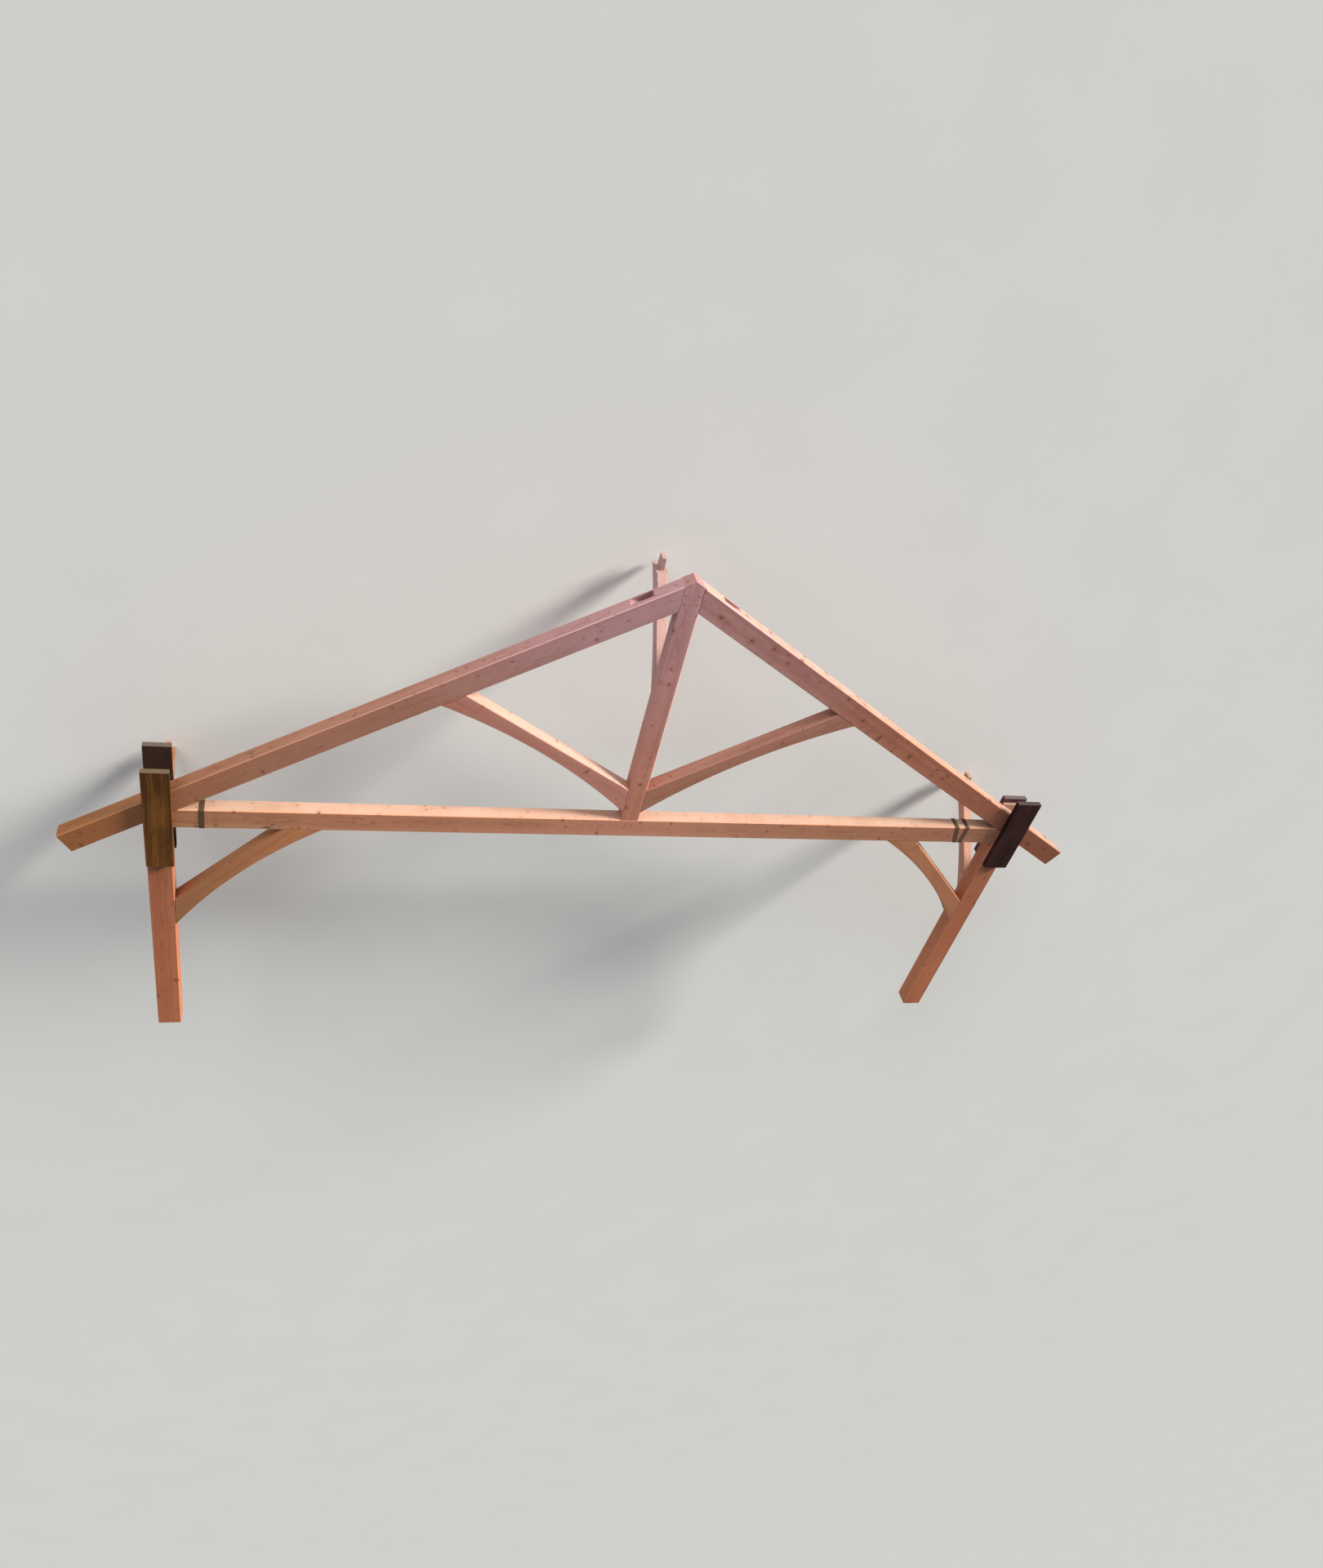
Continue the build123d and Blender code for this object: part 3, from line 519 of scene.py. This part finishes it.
# Knee braces. Short arched braces, tenoned and pegged at both ends, stiffen the corners
# between each post and the tie beam.
knee_reach, post_side_x = 0.9, 5.791
for side, lean, tones, seed in (
    ("left", 1, ((152, 101, 66), (182, 123, 82)), 9.0),
    ("right", -1, ((163, 104, 72), (170, 112, 79)), 10.0),
):
    low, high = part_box("knee_brace_" + side)
    middle = (low + high) / 2
    reach = Vector((lean, 1, 0)) * knee_reach
    shoulder = Vector((-lean * post_side_x, middle.y, middle.z))
    knee_wood = timber(
        "knee wood " + side, middle - reach, middle + reach, (0.09, 0.05), tones, (0.25, 0.24),
        seed, ((shoulder, (1, 0, 0)),),
    )
    dress("knee_brace_" + side, knee_wood)

# Rear braces. One at the king post and one at each post reach back and up towards the
# purlins. Their upper ends are cut level, with a stub tenon left for the purlin's mortise.
brace_reach, stub_long = 0.75, 0.18
for node, tones, seed in (
    ("ridge_brace", ((176, 138, 131), (176, 144, 142)), 11.0),
    ("eave_brace_left", ((168, 116, 86), (168, 120, 92)), 12.0),
    ("eave_brace_right", ((184, 138, 120), (178, 132, 111)), 13.0),
):
    low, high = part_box(node)
    middle = (low + high) / 2
    reach = Vector((0, 1, -1)) * brace_reach
    stub_top = Vector((middle.x, high.y, middle.z))
    shoulder = stub_top - Vector((0, stub_long, 0))
    brace_wood = timber(
        node + " wood", middle - reach, middle + reach, (0.03, 0.04), tones, (0.3, 0.17), seed,
        ((stub_top, (0, 1, 0)), (shoulder, (0, 1, 0))),
    )
    dress(node, brace_wood)

# Packing. A short offcut of the frame's own timber stands on the right hand post head and
# fills the space between the back of the rafter and the rear board.
low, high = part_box("packer_right")
foot = Vector(((low.x + high.x) / 2, low.y, low.z))
head = Vector((foot.x, high.y, low.z))
packing_wood = timber(
    "packing wood", foot, head, (0.06, 0.09), ((166, 131, 122), (166, 131, 122)), (0.2, 0.15),
    14.0, ((head, (0, 1, 0)),),
)
dress("packer_right", packing_wood)

# Boards. Old rough sawn planks are fixed upright against the front and rear of each post
# head. They are dark with weather and show the saw's marks; only their cut ends are paler.


def plank(name, box, dark, light, end_tone, seed):
    """Rough sawn board, its grain upright, its two ends cut across."""
    coat = Finish(name)
    low, high = box
    middle, half = (low + high) / 2, (high - low) / 2
    skin = coat.surface()
    local = coat.laid(skin, shift=-middle)
    across, upright, depth = coat.parts(local)

    ring_width = 0.0058
    drift = coat.grain(local, (3.0, 0.7, 3.0), (seed, 0, 0))
    wide = across + drift * 0.12 - 0.08
    deep = depth + (0.16 + seed * 0.01)
    radius = (wide * wide + deep * deep) ** 0.5
    phase = coat.maths("FRACT", radius * (1 / ring_width) + drift * 1.4)
    late = coat.step(phase, 0.3, 0.88) * coat.step(phase, 0.9, 1.0, 1.0, 0.0)
    stripe = coat.noise(coat.joined(radius * 30.0, upright * 0.6, seed), 1.0, 3.0, 0.6)
    grime = coat.grain(local, (4.0, 1.6, 4.0), detail=5.0, roughness=0.65)

    saw_pitch = 0.0105
    stroke = upright + across * 0.22 + coat.noise(skin, 2.0, 1.0) * 0.02
    saw_mark = coat.step(coat.maths("SINE", stroke * (2 * math.pi / saw_pitch)), 0.2, 1.0)
    fur = coat.grain(local, (260.0, 16.0, 260.0), detail=3.0, roughness=0.7)
    cut = coat.step(coat.maths("ABSOLUTE", upright), half.y - 0.0012, half.y - 0.0004)

    colour = coat.blend(coat.step(stripe, 0.36, 0.64), shade(*dark), shade(*light))
    colour = coat.blend(late * 0.4, colour, shade(*dark, times=0.66))
    colour = coat.blend(coat.step(grime, 0.42, 0.7, 0.0, 0.6), colour, shade(*dark, times=0.7))
    colour = coat.blend(saw_mark * 0.12, colour, shade(*light, times=1.2))
    colour = coat.blend(coat.step(fur, 0.45, 0.8, 0.0, 0.25), colour, shade(*light, times=1.15))
    across_grain = coat.blend(
        late * 0.5 + fur * 0.2, shade(*end_tone), shade(*end_tone, times=0.74)
    )
    colour = coat.blend(cut * 0.95, colour, across_grain)
    gloss = coat.step(grime, 0.3, 0.8, 0.74, 0.9)
    height = saw_mark * 0.5 + fur * 0.8 - late * 0.2
    return coat.finish(colour, gloss, height, depth=0.0009, shine=0.12)


for node, dark, light, end_tone, seed in (
    ("board_front_left", (70, 39, 14), (118, 76, 32), (98, 82, 63), 1.0),
    ("board_rear_left", (48, 31, 25), (70, 48, 40), (96, 85, 77), 2.0),
    ("board_front_right", (30, 12, 9), (54, 25, 19), (74, 62, 59), 3.0),
    ("board_rear_right", (68, 40, 44), (100, 63, 68), (99, 87, 84), 4.0),
):
    dress(node, plank(node + " face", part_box(node), dark, light, end_tone, seed))

# Pegs. Split hardwood pegs with eight sides are driven through every mortise and tenon joint
# and trimmed nearly flush with both faces. They are a little darker than most timbers.
peg = Finish("peg wood")
peg_skin = peg.surface()
peg_grain = peg.grain(peg_skin, (260.0, 260.0, 9.0), detail=3.0, roughness=0.65)
peg_tone = peg.noise(peg_skin, 5.0, 2.0)
peg_colour = peg.blend(peg.step(peg_grain, 0.3, 0.72), shade(156, 108, 86), shade(180, 128, 108))
peg_colour = peg.blend(peg.step(peg_tone, 0.4, 0.65, 0.0, 0.3), peg_colour, shade(140, 94, 74))
peg_gloss = peg.step(peg_grain, 0.2, 0.8, 0.5, 0.7)
peg_wood = peg.finish(peg_colour, peg_gloss, peg_grain, depth=0.0005)
for node in nodes:
    if node.startswith("pegs_"):
        dress(node, peg_wood)

# Floor and light. A plain pale floor lies under the truss. A broad soft lamp shines low from
# the right, a weaker one from the ridge's side, and even light comes from all round.
far = 350
floor_corners = [(-far, -far, 0), (far, -far, 0), (far, far, 0), (-far, far, 0)]
floor_mesh = bpy.data.meshes.new("floor")
floor_mesh.from_pydata(floor_corners, [], [(0, 1, 2, 3)])
floor = bpy.data.objects.new("floor", floor_mesh)
bpy.context.scene.collection.objects.link(floor)
paving = Finish("pale floor")
mottle = paving.noise(paving.surface(), 0.6, 3.0)
floor_colour = paving.blend(mottle, shade(236, 235, 232), shade(242, 241, 238))
floor_mesh.materials.append(paving.finish(floor_colour, 0.9, mottle, depth=0.0001))

for name, level, softness, colour, from_where in (
    ("lamp at the right", 2.15, 14, (1.0, 0.96, 0.89), (0.766, 0.616, 0.19)),
    ("lamp at the ridge", 0.45, 30, (0.88, 0.94, 1.0), (-0.45, 0.86, 0.25)),
):
    lamp = bpy.data.objects.new(name, bpy.data.lights.new(name, "SUN"))
    bpy.context.scene.collection.objects.link(lamp)
    lamp.data.energy = level * math.pi
    lamp.data.angle = math.radians(softness)
    lamp.data.color = colour
    lamp.rotation_mode = "QUATERNION"
    lamp.rotation_quaternion = Vector(from_where).to_track_quat("Z", "Y")

world = bpy.data.worlds.new("even light")
bpy.context.scene.world = world
world.use_nodes = True
sky = world.node_tree.nodes["Background"]
sky.inputs["Color"].default_value = (0.9, 0.95, 1.0, 1.0)
light_given, light_seen = 0.23, 0.93
air = Maker(world.node_tree)
looked_at = air.node("ShaderNodeLightPath", output="Is Camera Ray")
shiny, clear = looked_at.also("Is Glossy Ray"), looked_at.also("Is Transmission Ray")
seen = air.maths("MAXIMUM", looked_at, air.maths("MAXIMUM", shiny, clear))
air.give(sky.inputs["Strength"], seen * (light_seen - light_given) + light_given)

bpy.context.scene.view_settings.view_transform = "Standard"
